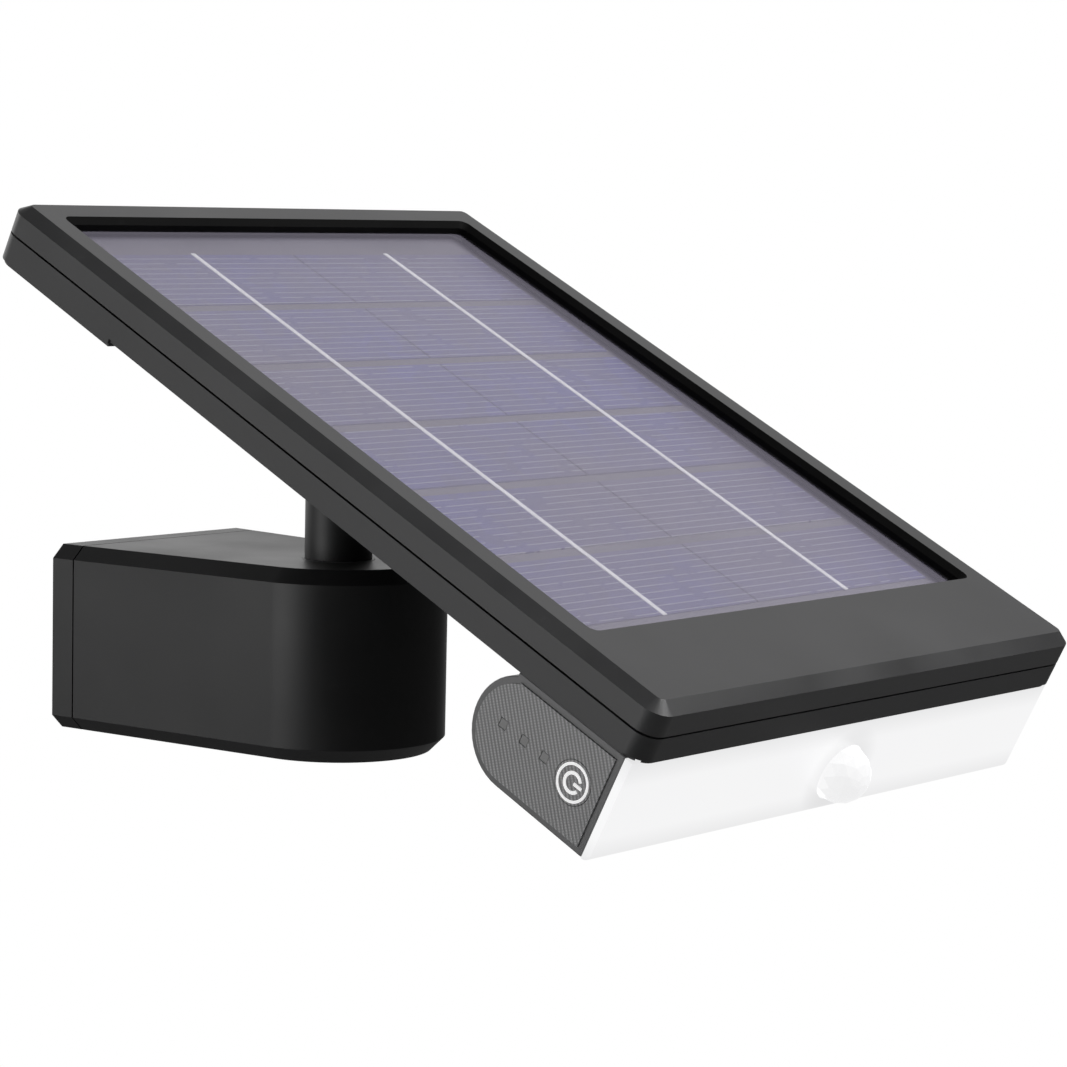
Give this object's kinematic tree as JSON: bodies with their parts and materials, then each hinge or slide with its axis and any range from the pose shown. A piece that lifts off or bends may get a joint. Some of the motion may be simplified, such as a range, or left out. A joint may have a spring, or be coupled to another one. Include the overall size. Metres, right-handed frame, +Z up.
{
  "type": "solar wall light with motion sensor",
  "caption": "Solar wall light: a tilting solar panel head with a lamp bar and motion sensor under its front edge, on a swivelling post in a wedge-shaped wall bracket.",
  "frame": {"origin": "centre of the wall plate's back face, between the two wall screws", "axes": "wall plane at Y = 0 with the front towards -Y, width along X, +Z up"},
  "size_m": [0.13, 0.1886, 0.1091],
  "materials": {
    "housing_black": "fine satin moulded texture",
    "cover_black": "fine satin moulded texture",
    "screw_steel": "zinc plated",
    "rubber_black": "soft matte",
    "bush_plastic": "self-lubricating plastic",
    "panel_glass": "clear, lightly textured",
    "cell_silicon": "blue multicrystalline silicon under glass",
    "back_sheet_grey": "laminate",
    "ribbon_metal": "tinned ribbon",
    "circuit_board": "solder mask",
    "board_white": "white solder mask",
    "battery_wrap": "heat-shrink sleeve",
    "holder_plastic": "moulded",
    "reflector_white": "white moulded",
    "diffuser_white": "opal, satin",
    "cap_grey": "satin",
    "overlay_mesh": "printed woven pattern under clear film",
    "button_grey": "printed woven pattern under clear film",
    "indicator_dark": "smoked light pipe",
    "lens_white": "translucent faceted lens",
    "sensor_metal": "plain can",
    "led_yellow": "phosphor"
  },
  "bodies": {
    "mount": {"wall_plate": "housing_black", "base_housing": "housing_black", "base_screws": "screw_steel", "wall_seal": "rubber_black", "swivel_bush": "bush_plastic"},
    "post": {"post": "housing_black", "swivel_washer": "screw_steel", "swivel_spring_washer": "screw_steel", "swivel_nut": "screw_steel", "friction_washers": "bush_plastic"},
    "head": {"hinge_bracket": "housing_black", "hinge_screws": "screw_steel", "pivot_bolt": "screw_steel", "pivot_nut": "screw_steel", "lower_housing": "housing_black", "top_cover": "cover_black", "cover_screws": "screw_steel", "glass_seal": "rubber_black", "solar_glass": "panel_glass", "back_sheet": "back_sheet_grey", "cell_ribbons": "ribbon_metal", "main_board": "circuit_board", "battery_cell_1": "battery_wrap", "battery_cell_2": "battery_wrap", "battery_holder": "holder_plastic", "led_board": "board_white", "reflector": "reflector_white", "diffuser": "diffuser_white", "left_end_cap": "cap_grey", "right_end_cap": "cap_grey", "control_overlay": "overlay_mesh", "control_board": "circuit_board", "power_switch": "holder_plastic", "indicator_light_1": "indicator_dark", "indicator_light_2": "indicator_dark", "indicator_light_3": "indicator_dark", "sensor_lens": "lens_white", "motion_sensor": "sensor_metal", "led_1": "led_yellow", "led_2": "led_yellow", "led_3": "led_yellow", "led_4": "led_yellow", "led_5": "led_yellow", "led_6": "led_yellow", "led_7": "led_yellow", "led_8": "led_yellow", "solar_cell_1": "cell_silicon", "solar_cell_2": "cell_silicon", "solar_cell_3": "cell_silicon", "solar_cell_4": "cell_silicon", "solar_cell_5": "cell_silicon", "solar_cell_6": "cell_silicon", "solar_cell_7": "cell_silicon", "solar_cell_8": "cell_silicon", "solar_cell_9": "cell_silicon", "solar_cell_10": "cell_silicon", "solar_cell_11": "cell_silicon", "solar_cell_12": "cell_silicon"},
    "button": {"power_button": "button_grey"}
  },
  "joints": [
    {"name": "post_swivel", "type": "hinge", "parent": "mount", "child": "post", "pos_m": [0, -0.0551, 0.02], "axis": [0, 0, 1], "range_deg": [-24, 24]},
    {"name": "head_tilt", "type": "hinge", "parent": "post", "child": "head", "pos_m": [0, -0.0551, 0.052], "axis": [1, 0, 0], "range_deg": [-26.4, 33.6]},
    {"name": "button_press", "type": "slide", "parent": "head", "child": "button", "axis": [1, 0, 0], "range_m": [0, 0.0006], "stiffness_N_per_m": 2500}
  ]
}
